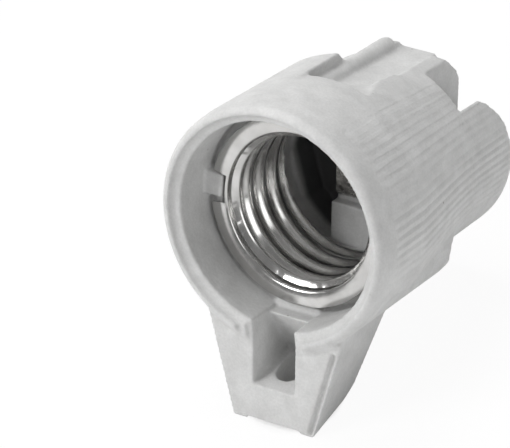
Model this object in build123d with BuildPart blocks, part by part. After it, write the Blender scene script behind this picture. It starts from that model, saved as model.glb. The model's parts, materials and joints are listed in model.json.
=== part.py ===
from build123d import *
import os
from math import cos, radians, sin, tan

# Angled lamp holder of unglazed porcelain with a rolled screw shell for an E27 lamp.
# The foot's sole is the XY plane and the fixing screw's centre is the origin.
# The lamp axis leans away from the sole, and the mouth looks along -Y and a little up.
# Heights named "at" are measured along the lamp axis from the mouth's rim.

# A cut runs this far past the face that it opens
outside = 1.0

# Lamp axis and sole
lamp_tilt = 16.3
mouth_height = 34.1
mouth_behind_screw = 1.25

# Body of revolution
rim_radius = 20.35
rim_round = 1.45
mouth_radius = 17.45
skirt_belly_radius = 20.5
skirt_belly_at = 4.0
skirt_top_radius = 20.2
shoulder_at = 28.3
shoulder_rise = 0.9
shoulder_round = 1.0
upper_radius = 17.1
upper_top_radius = 16.8
body_length = 46.6
top_round = 0.8

# Lamp cavity
ledge_at = 8.85
ledge_radius = 17.3
cavity_radius = 14.2
floor_at = 28.5

# Foot
foot_front_at = 2.0
foot_tip_half_width = 7.5
foot_flare = 0.288
foot_draft = 5.3
foot_root = 6.0
sole_rear_at = 13.4
ramp_rise = 0.31
rail_width = 2.5
rail_height = 0.4

# Nut pocket and screw slot in the foot
nut_pocket_width = 7.8
nut_pocket_inner = 16.8
nut_pocket_depth = 12.5
nut_pocket_wall = 6.2
slot_width = 4.3
slot_floor = 6.4

# Recess and flat on the foot side of the body
recess_side_a = -4.0
recess_side_b = 4.1
recess_radius = 16.9
recess_from = 18.6
flat_side_a = -3.7
flat_step_a = 15.9
flat_step_b = 16.5
flat_from = 23.0

# Terminal block at the back end
block_step = 0.8
strip_edge = -3.9
wire_hole_x = 8.9
wire_hole_length = 4.8
wire_hole_width = 4.0
wire_funnel_depth = 3.4
wire_bore_radius = 1.35
wire_bore_length = 3.0
probe_slit_start = 4.2
probe_slit_end = -1.8
probe_slit_y = -2.0
probe_slit_width = 1.0
probe_slit_depth = 2.5
rear_chamfer_start = -12.6
rear_chamfer_run = 5.0
rear_chamfer_drop = 4.4

# Channels on both sides of the block, with floors across the lamp axis
channel_floor_at = 35.3
valley_lip_at = 44.1
valley_floor_at = 37.0
valley_drop_x = 1.0

# Screw shell, rolled from nickel-plated sheet
thread_pitch = 3.629
thread_minor_radius = 12.2
groove_round = 1.05
sheet = 0.4
collar_radius = 13.4
collar_length = 1.2
neck_length = 0.8
flange_radius = 15.9
thread_start_at = 10.2
thread_start_azimuth = 205.0
shell_end_at = 24.0
notch_azimuth = 94.0
notch_width = 5.4
key_width = 4.0
key_rise = 0.9
key_inner_radius = 14.0
key_root = 0.4

# Centre contact and its rivet
contact_sheet = 0.5
contact_width = 6.0
contact_fixed_x = -8.4
contact_bend_x = -4.5
contact_crest_x = -2.6
contact_tip_x = 3.5
contact_rise = 3.3
contact_gap = 0.3
rivet_x = -6.4
rivet_radius = 1.0
rivet_length = 2.2
rivet_head_radius = 1.8
rivet_head = 0.8

# Push-in terminals behind the wire holes
chamber_length = 5.6
chamber_width = 5.0
chamber_depth = 7.0
bar_sheet = 0.8
bar_width = 4.2
bar_length = 6.0
leaf_sheet = 0.35
leaf_width = 3.8
leaf_gap = 0.3
leaf_tip_gap = 0.15
leaf_drop = 3.4

# The lamp axis runs from the mouth to the back end, and the local X runs down to the foot
tilt = radians(lamp_tilt)
mouth = Vector(0, mouth_behind_screw, mouth_height)
lamp = Plane(origin=mouth, x_dir=(0, -sin(tilt), -cos(tilt)), z_dir=(0, cos(tilt), -sin(tilt)))
section = Plane(origin=mouth, x_dir=lamp.x_dir, z_dir=-lamp.y_dir)
lamp_axis = Axis(mouth, lamp.z_dir)


def sole_x(at, height=0.0):
    """Distance below the lamp axis of a face parallel to the sole."""
    return (mouth_height - height) / cos(tilt) - at * tan(tilt)


def wall_points(outer, inner):
    return outer + inner[::-1]


block_top_at = body_length - block_step
chamber_top_at = block_top_at - wire_funnel_depth - wire_bore_length
chamber_end_at = chamber_top_at - chamber_depth
wire_holes = (wire_hole_x, -wire_hole_x)
collar_end_at = ledge_at - sheet + collar_length
neck_end_at = collar_end_at + neck_length
ramp_root_at = sole_rear_at + (sole_x(sole_rear_at) - foot_root) * ramp_rise
foot_tip_x = sole_x(foot_front_at)
foot_length = ramp_root_at - foot_front_at
foot_reach = 3.0
key_outer_radius = ledge_radius + key_root

thread_length = shell_end_at - groove_round - sheet - thread_start_at
thread_turned = radians(thread_start_azimuth)
thread_plane = Plane(
    origin=lamp.offset(thread_start_at).origin,
    x_dir=lamp.x_dir * cos(thread_turned) + lamp.y_dir * sin(thread_turned),
    z_dir=lamp.z_dir,
)
thread_path = thread_plane.location * Helix(
    thread_pitch, thread_length, thread_minor_radius, mode=Mode.PRIVATE
)


def foot_half_width(x):
    return foot_tip_half_width + (foot_tip_x - x) * foot_flare


# Ear and strip outlines beside the two channels, seen from the back end
strip_outline = [(12.4, -10.5), (6.5, -8.7), (0.6, -6.3), (-18.0, -6.5)]
ear_a_outline = [(11.6, -11.5), (2.6, -10.8), (-10.4, -12.8), (-14.0, -16.5)]
block_outline = [(15.0, 10.1), (0.5, 5.6), (-18.0, 5.4)]
ear_b_outline = [(9.9, 15.4), (7.6, 12.9), (3.9, 12.2), (0.2, 10.9), (-5.7, 11.6), (-7.4, 14.2), (-7.2, 18.0)]

with BuildPart() as porcelain_body:
    # Foot: its front outline is drawn back with draft and cut to the side profile
    with BuildSketch(lamp.offset(foot_front_at)) as foot_outline:
        with BuildLine():
            foot_end = foot_tip_x + foot_reach
            Polyline(
                (foot_root, foot_half_width(foot_root)),
                (foot_end, foot_half_width(foot_end)),
                (foot_end, -foot_half_width(foot_end)),
                (foot_root, -foot_half_width(foot_root)),
                close=True,
            )
        make_face()
    extrude(amount=foot_length, taper=foot_draft)
    with BuildSketch(section) as foot_profile:
        with BuildLine():
            Polyline(
                (foot_root, foot_front_at),
                (foot_tip_x, foot_front_at),
                (sole_x(sole_rear_at), sole_rear_at),
                (foot_root, ramp_root_at),
                close=True,
            )
        make_face()
    extrude(amount=skirt_belly_radius, both=True, mode=Mode.INTERSECT)

    # Skirt, shoulder and upper body
    with BuildSketch(section) as outer_profile:
        with BuildLine():
            rim_front = (rim_radius - rim_round, 0)
            rim_side = (rim_radius, rim_round)
            shoulder_low = (skirt_top_radius, shoulder_at - shoulder_round)
            shoulder_high = (skirt_top_radius - shoulder_round, shoulder_at)
            neck_low = (upper_radius + shoulder_round, shoulder_at + shoulder_rise)
            neck_high = (upper_radius, shoulder_at + shoulder_rise + shoulder_round)
            top_side = (upper_top_radius, body_length - top_round)
            top_edge = (upper_top_radius - top_round, body_length)
            Line((0, 0), rim_front)
            RadiusArc(rim_front, rim_side, -rim_round)
            Line(rim_side, (skirt_belly_radius, skirt_belly_at))
            Line((skirt_belly_radius, skirt_belly_at), shoulder_low)
            RadiusArc(shoulder_low, shoulder_high, -shoulder_round)
            Line(shoulder_high, neck_low)
            RadiusArc(neck_low, neck_high, shoulder_round)
            Line(neck_high, top_side)
            RadiusArc(top_side, top_edge, -top_round)
            Line(top_edge, (0, body_length))
            Line((0, body_length), (0, 0))
        make_face()
    revolve(axis=lamp_axis)

    # Lamp cavity with the ledge that carries the shell's flange
    with BuildSketch(section) as cavity_profile:
        with BuildLine():
            lip_front = (mouth_radius + rim_round, 0)
            lip_inside = (mouth_radius, rim_round)
            Polyline((0, -outside), (lip_front[0], -outside), lip_front)
            RadiusArc(lip_front, lip_inside, -rim_round)
            Polyline(
                lip_inside,
                (ledge_radius, ledge_at),
                (cavity_radius, ledge_at),
                (cavity_radius, floor_at),
                (0, floor_at),
                (0, -outside),
            )
        make_face()
    revolve(axis=lamp_axis, mode=Mode.SUBTRACT)

    # Nut pocket, open to the front and to the mouth
    with BuildSketch(section) as pocket_profile:
        with BuildLine():
            Polyline(
                (nut_pocket_inner, -outside),
                (sole_x(-outside, nut_pocket_wall), -outside),
                (sole_x(nut_pocket_depth, nut_pocket_wall), nut_pocket_depth),
                (nut_pocket_inner, nut_pocket_depth),
                close=True,
            )
        make_face()
    extrude(amount=nut_pocket_width / 2, both=True, mode=Mode.SUBTRACT)

    # Screw slot, open to the rear
    with BuildSketch(Plane.XY) as slot_outline:
        Circle(slot_width / 2)
        Rectangle(slot_width, body_length, align=(Align.CENTER, Align.MIN))
    extrude(amount=slot_floor, mode=Mode.SUBTRACT)

    # The sole between its two rails
    with BuildSketch(Plane.XY) as sole_outline:
        Rectangle(2 * (foot_tip_half_width - rail_width), 2 * body_length)
    extrude(amount=rail_height, mode=Mode.SUBTRACT)

    # Recess in the skirt above the foot, and the flat above it
    with BuildSketch(lamp.offset(recess_from)) as recess_outline:
        with BuildLine():
            Polyline(
                (recess_radius, recess_side_a),
                (rim_radius + outside, recess_side_a),
                (rim_radius + outside, recess_side_b),
                (recess_radius, recess_side_b),
                close=True,
            )
        make_face()
    extrude(amount=body_length, mode=Mode.SUBTRACT)
    with BuildSketch(lamp.offset(flat_from)) as flat_outline:
        with BuildLine():
            Polyline(
                (flat_step_a, flat_side_a),
                (rim_radius + outside, flat_side_a),
                (rim_radius + outside, recess_side_b),
                (flat_step_b, recess_side_b),
                close=True,
            )
        make_face()
    extrude(amount=body_length, mode=Mode.SUBTRACT)

    # Block top, a step below the raised strip and the ears
    with BuildSketch(lamp.offset(block_top_at)) as block_outline_top:
        with BuildLine():
            Polyline(
                (-upper_radius - outside, strip_edge),
                (upper_radius + outside, strip_edge),
                (upper_radius + outside, upper_radius + outside),
                (-upper_radius - outside, upper_radius + outside),
                close=True,
            )
        make_face()
    extrude(amount=block_step + outside, mode=Mode.SUBTRACT)

    # Channel between the strip and ear A
    with BuildSketch(lamp.offset(channel_floor_at)) as channel_outline:
        with BuildLine():
            Polyline(*wall_points(strip_outline, ear_a_outline), close=True)
        make_face()
    extrude(amount=body_length, mode=Mode.SUBTRACT)

    # Valley between the block and ear B: shallow at the front, deep behind
    with BuildSketch(lamp.offset(valley_lip_at)) as valley_outline:
        with BuildLine():
            Polyline(*wall_points(block_outline, ear_b_outline), close=True)
        make_face()
    extrude(amount=body_length, mode=Mode.SUBTRACT)
    with BuildSketch(lamp.offset(valley_floor_at)) as deep_outline:
        with BuildLine():
            Polyline(*wall_points(block_outline, ear_b_outline), close=True)
        make_face()
        with Locations((valley_drop_x, 0)):
            Rectangle(
                body_length, body_length, align=(Align.MAX, Align.CENTER), mode=Mode.INTERSECT
            )
    extrude(amount=body_length, mode=Mode.SUBTRACT)

    # Chamfer along the block's rear end
    with BuildSketch(section) as rear_chamfer:
        with BuildLine():
            Polyline(
                (rear_chamfer_start, body_length + outside),
                (rear_chamfer_start, block_top_at),
                (rear_chamfer_start - rear_chamfer_run, block_top_at - rear_chamfer_drop),
                (rear_chamfer_start - 2 * rear_chamfer_run, body_length + outside),
                close=True,
            )
        make_face()
    extrude(amount=upper_radius, both=True, mode=Mode.SUBTRACT)

    # Wire holes: oval funnels that narrow to a bore, with a chamber behind each
    for x in wire_holes:
        with BuildSketch(lamp.offset(block_top_at)) as funnel_top:
            with Locations((x, 0)):
                Ellipse(wire_hole_width / 2, wire_hole_length / 2)
        with BuildSketch(lamp.offset(block_top_at - wire_funnel_depth)) as funnel_neck:
            with Locations((x, 0)):
                Circle(wire_bore_radius)
        loft(mode=Mode.SUBTRACT)
    with BuildSketch(lamp.offset(chamber_top_at)) as wire_bores:
        with Locations(*[(x, 0) for x in wire_holes]):
            Circle(wire_bore_radius)
    extrude(amount=wire_bore_length, mode=Mode.SUBTRACT)
    with BuildSketch(lamp.offset(chamber_top_at)) as chambers:
        with Locations(*[(x, 0) for x in wire_holes]):
            Rectangle(chamber_length, chamber_width)
    extrude(amount=-chamber_depth, mode=Mode.SUBTRACT)

    # Probe slit in the block's top
    with BuildSketch(lamp.offset(block_top_at)) as probe_slit:
        with Locations(((probe_slit_start + probe_slit_end) / 2, probe_slit_y)):
            Rectangle(probe_slit_start - probe_slit_end, probe_slit_width)
    extrude(amount=-probe_slit_depth, mode=Mode.SUBTRACT)

    # Hole for the contact's rivet
    with BuildSketch(lamp.offset(floor_at)) as rivet_hole:
        with Locations((rivet_x, 0)):
            Circle(rivet_radius)
    extrude(amount=rivet_length, mode=Mode.SUBTRACT)

    # Key on the ledge that stops the shell from turning
    with BuildSketch(lamp.offset(ledge_at)) as ledge_key:
        with PolarLocations((key_inner_radius + key_outer_radius) / 2, 1, start_angle=notch_azimuth):
            Rectangle(key_outer_radius - key_inner_radius, key_width)
    extrude(amount=-key_rise)

with BuildPart() as screw_shell:
    # Flange, collar and tube, first as one turned blank
    with BuildSketch(section) as shell_profile:
        with BuildLine():
            flange_face_at = ledge_at - sheet
            collar_outside = collar_radius + sheet
            tube_outside = thread_minor_radius + sheet
            Polyline(
                (0, flange_face_at),
                (flange_radius, flange_face_at),
                (flange_radius, ledge_at),
                (collar_outside, ledge_at),
                (collar_outside, collar_end_at),
                (tube_outside, neck_end_at),
                (tube_outside, shell_end_at),
                (0, shell_end_at),
                close=True,
            )
        make_face()
    revolve(axis=lamp_axis)

    # Rolled thread: the sheet bulges outward along a helix, with the groove inside it
    with BuildSketch(Plane(thread_path @ 0, z_dir=thread_path % 0)) as bulge:
        Circle(groove_round + sheet)
    sweep(path=thread_path, is_frenet=True)
    with BuildSketch(section) as bore_profile:
        with BuildLine():
            Polyline(
                (0, flange_face_at - outside),
                (collar_radius, flange_face_at - outside),
                (collar_radius, collar_end_at),
                (thread_minor_radius, neck_end_at),
                (thread_minor_radius, shell_end_at + outside),
                (0, shell_end_at + outside),
                close=True,
            )
        make_face()
    revolve(axis=lamp_axis, mode=Mode.SUBTRACT)
    with BuildSketch(Plane(thread_path @ 0, z_dir=thread_path % 0)) as groove:
        Circle(groove_round)
    sweep(path=thread_path, is_frenet=True, mode=Mode.SUBTRACT)

    # Notch in the flange, round the porcelain key
    with BuildSketch(lamp.offset(ledge_at)) as notch:
        with PolarLocations((collar_outside + flange_radius + outside) / 2, 1, start_angle=notch_azimuth):
            Rectangle(flange_radius + outside - collar_outside, notch_width)
    extrude(amount=-2 * sheet, mode=Mode.SUBTRACT)

with BuildPart() as centre_contact:
    # Bent leaf: a fixed end under the rivet, a ramp and a raised tip on the lamp axis
    with BuildSketch(section) as contact_profile:
        with BuildLine():
            foot_at = floor_at - contact_gap
            tip_at = foot_at - contact_rise
            Polyline(
                (contact_fixed_x, foot_at),
                (contact_bend_x, foot_at),
                (contact_crest_x, tip_at),
                (contact_tip_x, tip_at),
                (contact_tip_x, tip_at - contact_sheet),
                (contact_crest_x - contact_sheet / 2, tip_at - contact_sheet),
                (contact_bend_x - contact_sheet / 2, foot_at - contact_sheet),
                (contact_fixed_x, foot_at - contact_sheet),
                close=True,
            )
        make_face()
    extrude(amount=contact_width / 2, both=True)
    with BuildSketch(lamp.offset(foot_at)) as contact_hole:
        with Locations((rivet_x, 0)):
            Circle(rivet_radius + contact_gap)
    extrude(amount=-2 * contact_sheet, mode=Mode.SUBTRACT)

with BuildPart() as contact_rivet:
    head_at = floor_at - 2 * contact_gap - contact_sheet
    with BuildSketch(lamp.offset(head_at)) as shank:
        with Locations((rivet_x, 0)):
            Circle(rivet_radius)
    extrude(amount=floor_at + rivet_length - head_at)
    with BuildSketch(lamp.offset(head_at)) as head:
        with Locations((rivet_x, 0)):
            Circle(rivet_head_radius)
    extrude(amount=-rivet_head)

named = {
    "porcelain_body": porcelain_body,
    "screw_shell": screw_shell,
    "centre_contact": centre_contact,
    "contact_rivet": contact_rivet,
}

# Push-in terminals: a bar on each chamber's outer wall and a clamping leaf across it
for label, x in (("foot_side", wire_hole_x), ("far_side", -wire_hole_x)):
    out = 1 if x > 0 else -1
    wall_x = x + out * chamber_length / 2
    with BuildPart() as clamp_bar:
        with BuildSketch(lamp.offset(chamber_end_at)) as bar_outline:
            with Locations((wall_x - out * bar_sheet / 2, 0)):
                Rectangle(bar_sheet, bar_width)
        extrude(amount=bar_length)
    named[f"clamp_bar_{label}"] = clamp_bar
    pivot_x = x - out * (chamber_length / 2 - leaf_gap)
    pivot_at = chamber_top_at - leaf_gap
    tip_x = wall_x - out * (bar_sheet + leaf_tip_gap)
    with BuildPart() as clamp_leaf:
        with BuildSketch(section) as leaf_outline:
            with BuildLine():
                Polyline(
                    (pivot_x, pivot_at),
                    (tip_x, pivot_at - leaf_drop),
                    (tip_x, pivot_at - leaf_drop - leaf_sheet),
                    (pivot_x, pivot_at - leaf_sheet),
                    close=True,
                )
            make_face()
        extrude(amount=leaf_width / 2, both=True)
    named[f"clamp_leaf_{label}"] = clamp_leaf

os.makedirs("parts", exist_ok=True)
for name, piece in named.items():
    piece.part.label = name
    export_step(piece.part, f"parts/{name}.step")
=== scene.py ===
import json
from math import atan2, cos, degrees, hypot, radians, sin, sqrt

import bpy
from mathutils import Matrix, Vector

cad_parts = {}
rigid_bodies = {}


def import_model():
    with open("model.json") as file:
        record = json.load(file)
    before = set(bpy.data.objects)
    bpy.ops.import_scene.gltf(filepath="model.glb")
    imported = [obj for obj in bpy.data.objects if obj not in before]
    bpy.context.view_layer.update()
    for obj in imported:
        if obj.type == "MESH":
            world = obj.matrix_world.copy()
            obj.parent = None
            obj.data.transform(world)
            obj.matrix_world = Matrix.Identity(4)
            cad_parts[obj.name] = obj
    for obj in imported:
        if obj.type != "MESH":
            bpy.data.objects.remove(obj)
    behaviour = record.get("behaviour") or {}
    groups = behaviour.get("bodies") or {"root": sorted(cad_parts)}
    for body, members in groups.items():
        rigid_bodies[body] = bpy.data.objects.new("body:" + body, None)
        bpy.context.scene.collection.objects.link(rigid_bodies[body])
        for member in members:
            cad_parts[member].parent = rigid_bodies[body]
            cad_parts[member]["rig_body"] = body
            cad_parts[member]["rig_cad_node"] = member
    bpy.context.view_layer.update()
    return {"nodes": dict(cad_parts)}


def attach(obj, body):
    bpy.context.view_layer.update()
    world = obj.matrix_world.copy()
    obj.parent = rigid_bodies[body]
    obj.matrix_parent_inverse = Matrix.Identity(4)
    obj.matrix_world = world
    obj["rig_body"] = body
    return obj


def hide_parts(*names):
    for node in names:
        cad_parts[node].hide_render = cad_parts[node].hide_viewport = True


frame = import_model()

# The frame's unit is the metre, and the sizes below are millimetres
mm = 0.001

# Lamp axis: Z runs from the mouth's rim to the back end, X down towards the foot
lamp_tilt = radians(16.3)
mouth_behind_screw = 1.25
mouth_height = 34.1
lamp_x = Vector((0, -sin(lamp_tilt), -cos(lamp_tilt)))
lamp_y = Vector((-1, 0, 0))
lamp_z = Vector((0, cos(lamp_tilt), -sin(lamp_tilt)))
mouth = Vector((0, mouth_behind_screw, mouth_height)) * mm
lamp_frame = Matrix.Translation(mouth) @ Matrix((lamp_x, lamp_y, lamp_z)).transposed().to_4x4()

# Camera
view_azimuth = 38.83
view_elevation = 38.39
view_roll = -10.6
view_distance = 666.0
view_aim = Vector((-2.05, 0.9, 35.2))
lens = 304.2
sensor = 36.0
floor_whiteness = 0.94

# Rolled screw shell
thread_pitch = 3.629
thread_minor_radius = 12.2
thread_major_radius = 13.2
thread_crest_at = 13.0
thread_from = 10.5
thread_to = 24.0
shell_sheet = 0.36
flange_radius = 15.9
flange_at = 8.45
collar_radius = 13.4
collar_end_at = 9.65
neck_end_at = 10.45
notch_from = 83.5
notch_to = 103.0

# Contact leaf: places along the lamp's X and along its axis
leaf_width = 6.0
leaf_sheet = 0.5
leaf_fixed_x = -8.4
leaf_foot = (-4.5, 28.2)
leaf_crest = (-2.6, 24.9)
leaf_tip = (2.9, 24.9)
leaf_lip = (3.5, 25.4)
leaf_bend = 0.8

# Tools turned on the lamp axis, and the faces round the shell's rings
degrees_a_step = 3
ring_corners = 144
thread_steps = 96

# Porcelain
porcelain_voxel = 0.28
porcelain_triangles = 130000
porcelain_softening = 6
flute_pitch = 1.25
flute_depth = 0.08
flute_share = 0.45
flute_radius = 16.3
flute_reach = (-152.0, -52.0)
flute_from = 4.5
flute_to = 44.5
flute_count = 86
flute_bump = 0.2
flute_fade = 2.0
flute_fade_turn = 0.025

# Forms that are cut into the porcelain or laid on it, along the lamp's own axes
taper_profile = [
    (20.35, 13.4),
    (19.55, 18.0),
    (18.75, 22.6),
    (18.0, 27.0),
    (17.45, 31.0),
    (17.1, 34.6),
    (16.95, 38.2),
    (22.5, 38.2),
    (22.5, 13.4),
]
taper_reach = (12.4, 39.2)
lobe_outline = [(-23, 4), (0, 4), (0, -16.4), (23, -16.4), (23, 23), (-23, 23)]
shoulder_slope = [(23.3, 22.6), (17.1, 29.4), (14.0, 32.8), (23.3, 32.8)]
shoulder_slope_turn = 158.0
shoulder_slope_sides = (-20, 20)
rear_recess_outline = [(-23, 4), (-17.2, 4), (-17.2, -2), (-18.8, -8.6), (-23, -8.6)]
rear_ledge_at = 17.0
behind_back_end = 48
rear_flat_profile = [(-16.4, 22.0), (-15.8, 41.4), (-15.8, 48.0), (-23, 48.0), (-23, 22.0)]
rear_flat_sides = (-4.2, 2.4)
rear_rib_radius = 1.6
rear_rib_centre = (-16.2, 3.7)
rear_rib_top_at = 40.0
rear_rib_crown = (30, 60, 80)
rear_fill_profile = [(-16.3, 24.0), (-15.85, 39.5), (-15.2, 39.5), (-15.2, 24.0)]
rear_fill_sides = (-1.0, 3.7)
rear_chamfer_profile = [(-12.8, 45.8), (-15.8, 41.7), (-18.8, 37.6), (-22, 37.6), (-22, 48), (-12.8, 48)]
rear_chamfer_sides = (-20.0, -3.9)
ear_profile = [
    (-11.6, 38.5),
    (-10.6, 40.8),
    (-9.6, 42.6),
    (-7.6, 44.4),
    (-5.6, 45.3),
    (-2.0, 45.9),
    (1.0, 46.6),
    (1.0, 48),
    (-20, 48),
    (-20, 38.5),
]
ear_sides = (-22.0, -8.0)
pocket_slope = [(17.3, 6.2), (25.7, 12.0), (25.5, 12.7), (16.0, 12.7), (16.0, 8.85), (17.3, 8.85)]
pocket_half_width = 4.0
pocket_side = 3.9
ledge_groove_profile = [(15.7, 8.0), (17.2, 8.0), (17.2, 10.4), (15.7, 10.4)]
ledge_groove_arc = (102.0, 343.0)
rim_blend_profile = [(18.9, 0.75), (20.3, 0.75), (21.6, 2.05), (21.6, 3.5), (18.9, 3.5)]
pocket_lip_profile = [(16.5, -1.0), (16.5, 1.2), (18.2, 1.7), (19.6, 1.96), (24.0, 1.96), (24.0, -1.0)]
pocket_lip_side = 4.7
lip_step_profile = [
    (16.3, -1.1),
    (16.3, 0.3),
    (18.2, 0.9),
    (19.8, 1.3),
    (21.4, 1.92),
    (24.2, 1.92),
    (24.2, -1.1),
]
lip_step_side = 6.0
rim_blend_arc = (-34.4, 68.8)
pocket_mouth_profile = [(15, -1), (26, -1), (26, 6), (15, 6)]
body_swell_profile = [(15.5, 26.0), (18.17, 26.0), (18.0, 27.0), (17.45, 31.0), (17.1, 34.6), (15.5, 34.6)]
body_swell_arc = (-164.0, 110.0)
block_corner_profile = [(-11.0, 46.65), (-12.7, 45.4), (-14.5, 43.3), (-18, 43.3), (-18, 48), (-11, 48)]
block_corner_sides = (-7.5, -3.9)
groove_outline = [(19.1, -10.6), (19.3, -11.5), (34.6, -7.3), (34.4, -6.4)]
groove_reach = (1.5, 2.9)
floor_recess_outline = [
    (-13.2, 5.2),
    (13.2, 5.2),
    (11.6, 8.2),
    (8.2, 11.6),
    (0, 14.1),
    (-8.2, 11.6),
    (-11.6, 8.2),
]
floor_at = 28.5
floor_overlap = 0.5
floor_recess_to = 34.5
# Painted shade in the deep recess behind the cavity's floor: its radius, strength, depths and fade
recess_painted_shade_radius = 14.4
recess_painted_shade_strength = 0.8
recess_painted_shade_from = 28.9
recess_painted_shade_to = 35.1
recess_painted_shade_fade = 1.5
floor_pad_outline = [(6.3, 5.2), (15, 5.2), (15, -5), (11, -12), (6.3, -15)]
floor_pad_from = 26.5
sole_corner_profile = [(32.2, 11.4), (30.1, 13.9), (29.0, 16.0), (36.0, 16.0), (36.0, 11.4)]
foot_half_width = 14.0


def select_only(*chosen):
    for other in bpy.context.scene.objects:
        other.select_set(False)
    for one in chosen:
        one.select_set(True)
    bpy.context.view_layer.objects.active = chosen[0]


def edit(piece, what="VERT"):
    select_only(piece)
    bpy.ops.object.mode_set(mode="EDIT")
    bpy.ops.mesh.select_mode(type=what)


def select_where(piece, kind, test):
    """Selects the vertices, edges or faces of the piece that pass the test, in edit mode."""
    bpy.ops.mesh.select_all(action="DESELECT")
    bpy.ops.object.mode_set(mode="OBJECT")
    for part in getattr(piece.data, kind):
        part.select = test(part)
    bpy.ops.object.mode_set(mode="EDIT")


def apply_all(piece):
    select_only(piece)
    for modifier in list(piece.modifiers):
        bpy.ops.object.modifier_apply(modifier=modifier.name)


def settle(piece, place=None):
    """Puts the piece's place into its mesh, so that its object sits at the origin."""
    select_only(piece)
    if place is not None:
        piece.matrix_world = place @ piece.matrix_world
    bpy.ops.object.transform_apply(location=True, rotation=True, scale=True)


# Materials

def new_material(name):
    made = bpy.data.materials.new(name)
    made.use_nodes = True
    nodes = made.node_tree.nodes
    shader = nodes["Principled BSDF"]
    return made, nodes, made.node_tree.links.new, shader


def object_noise(nodes, link, scale, detail=2.0, roughness=0.5):
    """A noise pattern on the object's own coordinates, with its scale in features per metre."""
    place = nodes.new("ShaderNodeTexCoord")
    noise = nodes.new("ShaderNodeTexNoise")
    noise.inputs["Scale"].default_value = scale
    noise.inputs["Detail"].default_value = detail
    noise.inputs["Roughness"].default_value = roughness
    link(place.outputs["Object"], noise.inputs["Vector"])
    return noise.outputs["Fac"]


def ramp(nodes, link, source, stops):
    made = nodes.new("ShaderNodeValToRGB")
    line = made.color_ramp.elements
    while len(line) < len(stops):
        line.new(0.5)
    for element, (position, shade) in zip(line, stops):
        element.position = position
        element.color = (*shade, 1) if isinstance(shade, tuple) else (shade, shade, shade, 1)
    link(source, made.inputs["Fac"])
    return made.outputs["Color"]


def mixed(nodes, link, factor, a, b, blend="MIX"):
    made = nodes.new("ShaderNodeMix")
    made.data_type = "RGBA"
    made.blend_type = blend
    for socket, value in (("Factor", factor), ("A", a), ("B", b)):
        target = [s for s in made.inputs if s.name == socket and s.enabled][0]
        if isinstance(value, bpy.types.NodeSocket):
            link(value, target)
        elif socket == "Factor":
            target.default_value = value
        else:
            target.default_value = (*value, 1)
    return [s for s in made.outputs if s.enabled][0]


def raised(nodes, link, shader, height, strength, distance):
    bump = nodes.new("ShaderNodeBump")
    bump.inputs["Strength"].default_value = strength
    bump.inputs["Distance"].default_value = distance * mm
    link(height, bump.inputs["Height"])
    link(bump.outputs["Normal"], shader.inputs["Normal"])


def maths(nodes, link, operation, *values):
    made = nodes.new("ShaderNodeMath")
    made.operation = operation
    for socket, value in zip(made.inputs, values):
        if isinstance(value, bpy.types.NodeSocket):
            link(value, socket)
        else:
            socket.default_value = value
    return made.outputs[0]


def lamp_coordinates(nodes, link):
    """The object's coordinates turned into the lamp's own axes: the vector, the radius and the depth."""
    place = nodes.new("ShaderNodeTexCoord")
    turned = nodes.new("ShaderNodeMapping")
    turned.vector_type = "TEXTURE"
    turned.inputs["Location"].default_value = mouth
    turned.inputs["Rotation"].default_value = lamp_frame.to_euler()
    link(place.outputs["Object"], turned.inputs["Vector"])
    split = nodes.new("ShaderNodeSeparateXYZ")
    link(turned.outputs["Vector"], split.inputs["Vector"])
    across = maths(nodes, link, "POWER", split.outputs["X"], 2)
    up = maths(nodes, link, "POWER", split.outputs["Y"], 2)
    radius = maths(nodes, link, "SQRT", maths(nodes, link, "ADD", across, up))
    return turned.outputs["Vector"], radius, split.outputs["Z"]


def rising(nodes, link, value, start, width):
    """Zero up to the start, then one after the width."""
    offset = maths(nodes, link, "SUBTRACT", value, start)
    share = maths(nodes, link, "DIVIDE", offset, width)
    return maths(nodes, link, "MINIMUM", maths(nodes, link, "MAXIMUM", share, 0), 1)


def fine_flutes(nodes, link):
    """Fine lines along the lamp axis, on the outside of the side that carries the pressed flutes."""
    turned, radius, depth = lamp_coordinates(nodes, link)
    around = nodes.new("ShaderNodeTexGradient")
    around.gradient_type = "RADIAL"
    link(turned, around.inputs["Vector"])
    turn = around.outputs["Fac"]
    outer = maths(nodes, link, "GREATER_THAN", radius, flute_radius * mm)
    behind = rising(nodes, link, depth, flute_from * mm, flute_fade * mm)
    low, high = [0.5 + azimuth / 360 for azimuth in flute_reach]
    after = rising(nodes, link, turn, low, flute_fade_turn)
    before = rising(nodes, link, maths(nodes, link, "SUBTRACT", 1, turn), 1 - high, flute_fade_turn)
    where = maths(nodes, link, "MULTIPLY", after, before)
    where = maths(nodes, link, "MULTIPLY", where, maths(nodes, link, "MULTIPLY", outer, behind))
    wave = maths(nodes, link, "PINGPONG", maths(nodes, link, "MULTIPLY", turn, flute_count), 0.5)
    return maths(nodes, link, "MULTIPLY", wave, where)


def painted_recess_shade(nodes, link):
    """Mask of painted shade: one in the recess behind the cavity's floor, where the porcelain's colour is
    painted nearly black to stand in for the shade deep in the recess.
    """
    _, radius, depth = lamp_coordinates(nodes, link)
    inner = maths(nodes, link, "LESS_THAN", radius, recess_painted_shade_radius * mm)
    below = rising(nodes, link, depth, recess_painted_shade_from * mm, recess_painted_shade_fade * mm)
    above = maths(nodes, link, "LESS_THAN", depth, recess_painted_shade_to * mm)
    return maths(nodes, link, "MULTIPLY", maths(nodes, link, "MULTIPLY", inner, below), above)


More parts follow.
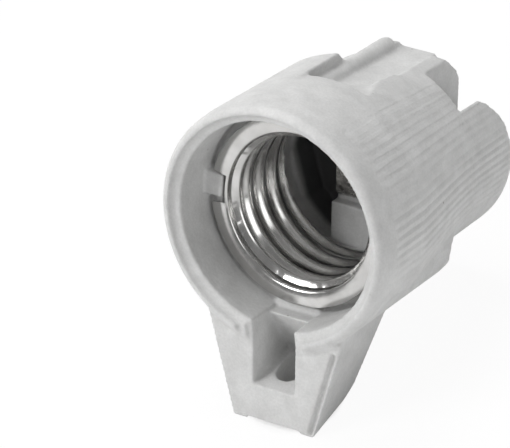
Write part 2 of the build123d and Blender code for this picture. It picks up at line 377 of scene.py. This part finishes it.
def unglazed_porcelain():
    made, nodes, link, shader = new_material("unglazed_porcelain")
    pale_stops = [(0.3, (0.58, 0.58, 0.575)), (0.7, (0.665, 0.665, 0.66))]
    cloud = ramp(nodes, link, object_noise(nodes, link, 330, 4), pale_stops)
    grain = ramp(nodes, link, object_noise(nodes, link, 2600, 2), [(0.35, 0.93), (0.65, 1.0)])
    body = mixed(nodes, link, 1.0, cloud, grain, "MULTIPLY")
    place = nodes.new("ShaderNodeTexCoord")
    speck = nodes.new("ShaderNodeTexVoronoi")
    speck.inputs["Scale"].default_value = 260
    link(place.outputs["Object"], speck.inputs["Vector"])
    dot = ramp(nodes, link, speck.outputs["Distance"], [(0.035, 1.0), (0.06, 0.0)])
    split = nodes.new("ShaderNodeSeparateColor")
    link(speck.outputs["Color"], split.inputs["Color"])
    rare = ramp(nodes, link, split.outputs["Red"], [(0.76, 0.0), (0.86, 0.7)])
    where = mixed(nodes, link, 1.0, dot, rare, "MULTIPLY")
    colour = mixed(nodes, link, where, body, (0.22, 0.2, 0.18))
    # Painted shade: the porcelain's colour is darkened to near-black in the deep recess, standing in for
    # the shade there
    painted_shade_share = maths(nodes, link, "MULTIPLY", painted_recess_shade(nodes, link), recess_painted_shade_strength)
    colour = mixed(nodes, link, painted_shade_share, colour, (0.03, 0.03, 0.032))
    link(colour, shader.inputs["Base Color"])
    rough = ramp(nodes, link, object_noise(nodes, link, 420, 3), [(0.3, 0.52), (0.7, 0.66)])
    link(rough, shader.inputs["Roughness"])
    grit = maths(nodes, link, "MULTIPLY", object_noise(nodes, link, 1500, 3, 0.6), 0.3)
    raised(nodes, link, shader, maths(nodes, link, "ADD", grit, fine_flutes(nodes, link)), 1.0, flute_bump)
    shader.inputs["Specular IOR Level"].default_value = 0.4
    return made


def nickel_plate():
    made, nodes, link, shader = new_material("nickel_plate")
    plate_stops = [(0.3, (0.5, 0.495, 0.485)), (0.7, (0.62, 0.615, 0.605))]
    tone = ramp(nodes, link, object_noise(nodes, link, 260, 2), plate_stops)
    link(tone, shader.inputs["Base Color"])
    shader.inputs["Metallic"].default_value = 1.0
    rough = ramp(nodes, link, object_noise(nodes, link, 900, 4), [(0.3, 0.15), (0.7, 0.26)])
    link(rough, shader.inputs["Roughness"])
    raised(nodes, link, shader, object_noise(nodes, link, 380, 1), 0.12, 0.05)
    return made


def spring_metal(name, low, high, roughness):
    made, nodes, link, shader = new_material(name)
    tone = ramp(nodes, link, object_noise(nodes, link, 600, 3), [(0.3, low), (0.7, high)])
    link(tone, shader.inputs["Base Color"])
    shader.inputs["Metallic"].default_value = 1.0
    rough_stops = [(0.3, roughness), (0.7, roughness + 0.15)]
    rough = ramp(nodes, link, object_noise(nodes, link, 1500, 3), rough_stops)
    link(rough, shader.inputs["Roughness"])
    raised(nodes, link, shader, object_noise(nodes, link, 700, 2), 0.1, 0.02)
    return made


porcelain_finish = unglazed_porcelain()
nickel_finish = nickel_plate()
contact_finish = spring_metal("contact_metal", (0.5, 0.49, 0.47), (0.62, 0.61, 0.59), 0.16)
spring_finish = spring_metal("spring_steel", (0.5, 0.5, 0.5), (0.62, 0.62, 0.62), 0.25)


def give(piece, finish):
    piece.data.materials.clear()
    piece.data.materials.append(finish)


# Shapes drawn on the lamp's own axes

def drawn_slab(outline, across, low, high, turn=0.0):
    """A closed slab: the outline drawn from low to high along the axis that it stands across."""
    first, second = [k for k in range(3) if k != across]
    bpy.ops.curve.primitive_bezier_curve_add(location=(0, 0, 0))
    line = bpy.context.object
    spline = line.data.splines[0]
    spline.bezier_points.add(len(outline) - len(spline.bezier_points))
    spline.use_cyclic_u = True
    line.data.resolution_u = 1
    for point, corner in zip(spline.bezier_points, outline):
        place = Vector()
        place[first], place[second], place[across] = *corner, low
        point.handle_left_type = point.handle_right_type = "VECTOR"
        point.co = place * mm
    select_only(line)
    bpy.ops.object.convert(target="MESH")
    slab = bpy.context.object
    edit(slab)
    bpy.ops.mesh.select_all(action="SELECT")
    bpy.ops.mesh.edge_face_add()
    if high > low:
        reach = Vector()
        reach[across] = (high - low) * mm
        bpy.ops.mesh.extrude_region_move(TRANSFORM_OT_translate={"value": reach})
        bpy.ops.mesh.select_all(action="SELECT")
        bpy.ops.mesh.normals_make_consistent(inside=False)
    bpy.ops.object.mode_set(mode="OBJECT")
    settle(slab, lamp_frame @ Matrix.Rotation(radians(turn), 4, "Z") if high > low else None)
    return slab


def spun_ring(profile, start, sweep):
    """A closed ring or arc: a profile of radius and height spun about the lamp axis."""
    ring = drawn_slab(profile, 1, 0, 0)
    edit(ring, "FACE")
    bpy.ops.mesh.select_all(action="SELECT")
    whole = sweep == 360
    if whole:
        bpy.ops.mesh.delete(type="ONLY_FACE")
        bpy.ops.mesh.select_mode(type="EDGE")
        bpy.ops.mesh.select_all(action="SELECT")
    bpy.ops.mesh.spin(
        steps=max(6, round(sweep / degrees_a_step)),
        angle=radians(sweep),
        center=(0, 0, 0),
        axis=(0, 0, -1),
    )
    bpy.ops.mesh.select_all(action="SELECT")
    bpy.ops.mesh.remove_doubles(threshold=0.001 * mm)
    bpy.ops.mesh.normals_make_consistent(inside=False)
    bpy.ops.object.mode_set(mode="OBJECT")
    settle(ring, lamp_frame @ Matrix.Rotation(radians(start), 4, "Z"))
    return ring


def cut_away(piece, tool):
    """Cuts the tool out of the piece and throws the tool away."""
    cut = piece.modifiers.new("cut", "BOOLEAN")
    cut.operation = "DIFFERENCE"
    cut.object = tool
    apply_all(piece)
    bpy.data.objects.remove(tool)


# Porcelain body

def rear_rib():
    """The rounded rib beside the flat, from the ledge to the chamfer."""
    length = rear_rib_top_at - rear_ledge_at
    place = Vector((*rear_rib_centre, rear_ledge_at + length / 2)) * mm
    bpy.ops.mesh.primitive_cylinder_add(
        vertices=32, radius=rear_rib_radius * mm, depth=length * mm, end_fill_type="NGON", location=place
    )
    rib = bpy.context.object
    settle(rib)
    corners = rib.data.vertices
    edit(rib, "FACE")
    top = rear_rib_top_at * mm

    def at_top(face):
        return all(abs(corners[i].co.z - top) < 0.01 * mm for i in face.vertices)

    select_where(rib, "polygons", at_top)
    radius = rear_rib_radius
    for angle in rear_rib_crown:
        rise = rear_rib_radius * sin(radians(angle)) - sqrt(max(0.0, rear_rib_radius**2 - radius**2))
        share = rear_rib_radius * cos(radians(angle)) / radius
        bpy.ops.mesh.extrude_region_move(TRANSFORM_OT_translate={"value": (0, 0, rise * mm)})
        bpy.ops.transform.resize(value=(share, share, 1))
        radius *= share
    bpy.ops.object.mode_set(mode="OBJECT")
    settle(rib, lamp_frame)
    return rib


def cut_forms(casting):
    """The taper, the sloped shoulders, the rear side, ear A's top and the recess in the cavity's floor."""
    taper = spun_ring(taper_profile, 0, 360)
    lobe = drawn_slab(lobe_outline, 2, *taper_reach)
    cut_away(taper, lobe)
    tools = [
        taper,
        drawn_slab(shoulder_slope, 1, *shoulder_slope_sides, shoulder_slope_turn),
        drawn_slab(rear_recess_outline, 2, rear_ledge_at, behind_back_end),
        drawn_slab(rear_flat_profile, 1, *rear_flat_sides),
        drawn_slab(rear_chamfer_profile, 1, *rear_chamfer_sides),
        drawn_slab(ear_profile, 1, *ear_sides),
        drawn_slab(floor_recess_outline, 2, floor_at - floor_overlap, floor_recess_to),
        drawn_slab(sole_corner_profile, 1, -foot_half_width, foot_half_width),
        drawn_slab(block_corner_profile, 1, *block_corner_sides),
        drawn_slab(groove_outline, 2, *groove_reach),
        spun_ring(ledge_groove_profile, *ledge_groove_arc),
    ]
    for tool in tools:
        cut_away(casting, tool)


def add_forms(casting):
    """The pocket's sloped wall and lip, the blend under the rim, the pad, the rib and the flat's bed."""
    added = [
        drawn_slab(pocket_slope, 1, -pocket_half_width, pocket_half_width),
        drawn_slab(floor_pad_outline, 2, floor_pad_from, floor_at + floor_overlap),
        rear_rib(),
        drawn_slab(rear_fill_profile, 1, *rear_fill_sides),
        spun_ring(body_swell_profile, *body_swell_arc),
    ]
    blend = spun_ring(rim_blend_profile, *rim_blend_arc)
    cut_away(blend, drawn_slab(pocket_mouth_profile, 1, -pocket_side, pocket_side))
    added.append(blend)
    for form in (casting, blend):
        cut_away(form, drawn_slab(pocket_lip_profile, 1, -pocket_lip_side, pocket_lip_side))
        cut_away(form, drawn_slab(lip_step_profile, 1, -lip_step_side, lip_step_side))
    select_only(casting, *added)
    bpy.ops.object.join()


def porcelain_casting():
    """The porcelain with its edges softened as pressing and firing leave them."""
    select_only(frame["nodes"]["porcelain_body"])
    bpy.ops.object.duplicate()
    casting = bpy.context.view_layer.objects.active
    casting.name = "porcelain_casting"
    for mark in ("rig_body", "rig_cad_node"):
        del casting[mark]
    casting.parent = None
    edit(casting)
    bpy.ops.mesh.select_all(action="SELECT")
    bpy.ops.mesh.remove_doubles(threshold=0.001 * mm)
    bpy.ops.object.mode_set(mode="OBJECT")
    cut_forms(casting)
    add_forms(casting)
    remesh = casting.modifiers.new("even_faces", "REMESH")
    remesh.mode = "VOXEL"
    remesh.voxel_size = porcelain_voxel * mm
    soften = casting.modifiers.new("soft_edges", "SMOOTH")
    soften.factor = 0.5
    soften.iterations = porcelain_softening
    apply_all(casting)
    triangles = sum(len(face.vertices) - 2 for face in casting.data.polygons)
    if triangles > porcelain_triangles:
        thin = casting.modifiers.new("fewer_faces", "DECIMATE")
        thin.ratio = porcelain_triangles / triangles
        apply_all(casting)
    press_flutes(casting)
    bpy.ops.object.shade_smooth()
    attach(casting, "holder")
    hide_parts("porcelain_body")
    give(casting, porcelain_finish)
    return casting


def lamp_place(point):
    """Where a point of the frame lies along the lamp's own axes, in millimetres."""
    offset = point - mouth
    return offset.dot(lamp_x) / mm, offset.dot(lamp_y) / mm, offset.dot(lamp_z) / mm


def in_flutes(point, share):
    x, y, z = lamp_place(point)
    radius = hypot(x, y)
    azimuth = degrees(atan2(y, x))
    if radius < flute_radius or not flute_from < z < flute_to:
        return False
    if not flute_reach[0] < azimuth < flute_reach[1]:
        return False
    return radians(azimuth) * flute_radius / flute_pitch % 1 < share


def press_flutes(casting):
    """Fine flutes that the press tool leaves along the lamp axis, on the side away from the screw."""
    edit(casting, "FACE")
    select_where(casting, "polygons", lambda face: in_flutes(face.center, 1.0))
    bpy.ops.mesh.subdivide(number_cuts=1)
    bpy.ops.mesh.select_mode(type="VERT")
    for share in (flute_share, flute_share / 2):
        select_where(casting, "vertices", lambda corner: in_flutes(corner.co, share))
        bpy.ops.transform.shrink_fatten(value=-flute_depth / 2 * mm)
    bpy.ops.object.mode_set(mode="OBJECT")


# Screw shell

def turned_ring():
    """Flange, collar and neck, drawn out of one ring of edges."""
    bpy.ops.mesh.primitive_circle_add(
        vertices=ring_corners, radius=flange_radius * mm, location=(0, 0, flange_at * mm)
    )
    ring = bpy.context.object
    edit(ring, "EDGE")
    bpy.ops.mesh.select_all(action="SELECT")
    steps = [
        (collar_radius + 0.25, 0.0),
        (collar_radius + 0.07, 0.08),
        (collar_radius, 0.28),
        (collar_radius, collar_end_at - flange_at - 0.15),
        (collar_radius - 0.1, collar_end_at - flange_at),
        (thread_minor_radius + 0.35, neck_end_at - flange_at - 0.2),
        (thread_minor_radius + 0.1, neck_end_at - flange_at + 0.05),
    ]
    radius, at = flange_radius, 0.0
    for next_radius, next_at in steps:
        bpy.ops.mesh.extrude_region_move(TRANSFORM_OT_translate={"value": (0, 0, (next_at - at) * mm)})
        share = next_radius / radius
        bpy.ops.transform.resize(value=(share, share, 1), center_override=(0, 0, 0))
        radius, at = next_radius, next_at
    bpy.ops.object.mode_set(mode="OBJECT")

    def in_notch(face):
        azimuth = degrees(atan2(face.center.y, face.center.x))
        outside = Vector(face.center[:2]).length > (collar_radius + 0.4) * mm
        return outside and notch_from < azimuth < notch_to

    edit(ring, "FACE")
    select_where(ring, "polygons", in_notch)
    bpy.ops.mesh.delete(type="FACE")
    bpy.ops.object.mode_set(mode="OBJECT")
    return ring


def rolled_thread():
    """One wave of the sheet, screwed round the lamp axis and cut square at both ends."""
    bpy.ops.curve.primitive_bezier_curve_add(location=(0, 0, 0))
    wave = bpy.context.object
    spline = wave.data.splines[0]
    spline.bezier_points.add(1)
    wave.data.resolution_u = 10
    half = thread_pitch / 2
    turns_below = 2
    low = thread_crest_at - turns_below * thread_pitch
    for point, (radius, at) in zip(
        spline.bezier_points,
        [
            (thread_minor_radius, low),
            (thread_major_radius, low + half),
            (thread_minor_radius, low + 2 * half),
        ],
    ):
        point.handle_left_type = point.handle_right_type = "FREE"
        point.co = Vector((radius, 0, at)) * mm
        point.handle_left = Vector((radius, 0, at - 0.4 * half)) * mm
        point.handle_right = Vector((radius, 0, at + 0.4 * half)) * mm
    select_only(wave)
    bpy.ops.object.convert(target="MESH")
    wave = bpy.context.object
    screw = wave.modifiers.new("thread", "SCREW")
    screw.axis = "Z"
    screw.angle = radians(360)
    screw.screw_offset = thread_pitch * mm
    screw.iterations = 6
    screw.steps = screw.render_steps = thread_steps
    screw.use_merge_vertices = True
    screw.merge_threshold = 0.01 * mm
    apply_all(wave)
    for at, clear in ((thread_from, "inner"), (thread_to, "outer")):
        edit(wave)
        bpy.ops.mesh.select_all(action="SELECT")
        bpy.ops.mesh.bisect(
            plane_co=(0, 0, at * mm),
            plane_no=(0, 0, 1),
            clear_inner=clear == "inner",
            clear_outer=clear == "outer",
        )
        bpy.ops.object.mode_set(mode="OBJECT")
    return wave


def rolled_shell():
    ring = turned_ring()
    thread = rolled_thread()
    select_only(ring, thread)
    bpy.ops.object.join()
    shell = bpy.context.object
    shell.name = "rolled_shell"
    edit(shell)
    bpy.ops.mesh.select_all(action="SELECT")
    bpy.ops.mesh.remove_doubles(threshold=0.005 * mm)
    bpy.ops.mesh.normals_make_consistent(inside=False)
    bpy.ops.object.mode_set(mode="OBJECT")
    wall = shell.modifiers.new("sheet", "SOLIDIFY")
    wall.thickness = shell_sheet * mm
    wall.offset = 1.0
    edge = shell.modifiers.new("sheet_edge", "BEVEL")
    edge.width = 0.08 * mm
    edge.segments = 2
    edge.angle_limit = radians(60)
    apply_all(shell)
    settle(shell, lamp_frame)
    bpy.ops.object.shade_smooth_by_angle(angle=radians(50))
    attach(shell, "holder")
    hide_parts("screw_shell")
    give(shell, nickel_finish)
    return shell


# Centre contact

def bent_leaf():
    """The contact's leaf: a strip drawn edge by edge through its bends, then given its thickness."""
    length = leaf_foot[0] - leaf_fixed_x
    bpy.ops.mesh.primitive_plane_add(
        size=leaf_width * mm, location=Vector((leaf_fixed_x + length / 2, 0, leaf_foot[1])) * mm
    )
    leaf = bpy.context.object
    leaf.name = "contact_leaf"
    edit(leaf, "EDGE")
    bpy.ops.mesh.select_all(action="SELECT")
    bpy.ops.transform.resize(value=(length / leaf_width, 1, 1))
    bpy.ops.object.mode_set(mode="OBJECT")
    settle(leaf)
    edit(leaf, "EDGE")

    def at_fold(side, fold):
        ends = [leaf.data.vertices[i].co / mm for i in side.vertices]
        return all(hypot(end.x - fold[0], end.z - fold[1]) < 0.05 for end in ends)

    select_where(leaf, "edges", lambda side: at_fold(side, leaf_foot))
    last = leaf_foot
    for stop in (leaf_crest, leaf_tip, leaf_lip):
        step = Vector((stop[0] - last[0], 0, stop[1] - last[1])) * mm
        bpy.ops.mesh.extrude_region_move(TRANSFORM_OT_translate={"value": step})
        last = stop
    folds = (leaf_foot, leaf_crest)
    select_where(leaf, "edges", lambda side: any(at_fold(side, fold) for fold in folds))
    bpy.ops.mesh.bevel(offset=leaf_bend * mm, segments=6, profile=0.5)
    bpy.ops.mesh.select_all(action="SELECT")
    bpy.ops.mesh.normals_make_consistent(inside=False)
    bpy.ops.object.mode_set(mode="OBJECT")
    if leaf.data.polygons[0].normal.z < 0:
        edit(leaf, "FACE")
        bpy.ops.mesh.select_all(action="SELECT")
        bpy.ops.mesh.flip_normals()
        bpy.ops.object.mode_set(mode="OBJECT")
    wall = leaf.modifiers.new("sheet", "SOLIDIFY")
    wall.thickness = leaf_sheet * mm
    wall.offset = -1.0
    edge = leaf.modifiers.new("sheared_edge", "BEVEL")
    edge.width = 0.1 * mm
    edge.segments = 2
    edge.angle_limit = radians(60)
    apply_all(leaf)
    settle(leaf, lamp_frame)
    bpy.ops.object.shade_smooth_by_angle(angle=radians(40))
    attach(leaf, "contact")
    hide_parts("centre_contact")
    give(leaf, contact_finish)
    return leaf


# Stage

def camera():
    turn = radians(view_azimuth)
    rise = radians(view_elevation)
    away = Vector((sin(turn) * cos(rise), -cos(turn) * cos(rise), sin(rise)))
    bpy.ops.object.camera_add(location=(view_aim + away * view_distance) * mm)
    made = bpy.context.object
    look = (-away).to_track_quat("-Z", "Y").to_matrix().to_4x4()
    roll = Matrix.Rotation(radians(view_roll), 4, "Z")
    made.matrix_world = Matrix.Translation(made.location) @ look @ roll
    made.data.lens = lens
    made.data.sensor_width = sensor
    made.data.clip_start = 0.05
    made.data.clip_end = 10
    bpy.context.scene.camera = made


def floor():
    bpy.ops.mesh.primitive_plane_add(size=6, location=(0, 0, -0.02 * mm))
    made = bpy.context.object
    made.name = "floor"
    paint, nodes, link, shader = new_material("pale_floor")
    shader.inputs["Base Color"].default_value = (0.93, 0.93, 0.93, 1)
    shader.inputs["Roughness"].default_value = 0.9
    rays = nodes.new("ShaderNodeLightPath")
    white = nodes.new("ShaderNodeEmission")
    white.inputs["Strength"].default_value = 1.0
    blend = nodes.new("ShaderNodeMixShader")
    place = nodes.new("ShaderNodeTexCoord")
    distance = nodes.new("ShaderNodeVectorMath")
    distance.operation = "LENGTH"
    link(place.outputs["Object"], distance.inputs[0])
    spread = nodes.new("ShaderNodeMapRange")
    spread.inputs["From Min"].default_value = 5 * mm
    spread.inputs["From Max"].default_value = 8 * mm
    spread.inputs["To Max"].default_value = floor_whiteness
    link(distance.outputs["Value"], spread.inputs["Value"])
    share = nodes.new("ShaderNodeMath")
    share.operation = "MULTIPLY"
    link(spread.outputs["Result"], share.inputs[1])
    link(rays.outputs["Is Camera Ray"], share.inputs[0])
    link(share.outputs[0], blend.inputs["Fac"])
    link(shader.outputs["BSDF"], blend.inputs[1])
    link(white.outputs["Emission"], blend.inputs[2])
    link(blend.outputs["Shader"], nodes["Material Output"].inputs["Surface"])
    made.data.materials.append(paint)


def softbox(name, place, size, power):
    bpy.ops.object.light_add(type="AREA", location=place)
    lamp = bpy.context.object
    lamp.name = name
    lamp.data.shape = "RECTANGLE"
    lamp.data.size, lamp.data.size_y = size
    lamp.data.energy = power
    lamp.rotation_mode = "QUATERNION"
    lamp.rotation_quaternion = (Vector((0, 0.02, 0.03)) - Vector(place)).to_track_quat("-Z", "Y")


def studio():
    world = bpy.data.worlds.new("studio")
    bpy.context.scene.world = world
    world.use_nodes = True
    world.node_tree.nodes["Background"].inputs["Color"].default_value = (1, 1, 1, 1)
    world.node_tree.nodes["Background"].inputs["Strength"].default_value = 0.25
    softbox("key_softbox", (-0.6, -0.75, 0.85), (0.5, 0.5), 9.0)
    softbox("top_softbox", (-0.3, 0.35, 1.15), (0.6, 0.6), 9.0)
    softbox("fill_softbox", (0.9, -0.5, 0.5), (0.3, 0.8), 2.0)


camera()
floor()
studio()
porcelain_casting()
rolled_shell()
bent_leaf()
for node, finish, name in (
    ("contact_rivet", contact_finish, "contact_metal"),
    ("clamp_bar_foot_side", contact_finish, "contact_metal"),
    ("clamp_bar_far_side", contact_finish, "contact_metal"),
    ("clamp_leaf_foot_side", spring_finish, "spring_steel"),
    ("clamp_leaf_far_side", spring_finish, "spring_steel"),
):
    give(frame["nodes"][node], finish)

bpy.context.scene.view_settings.view_transform = "Standard"
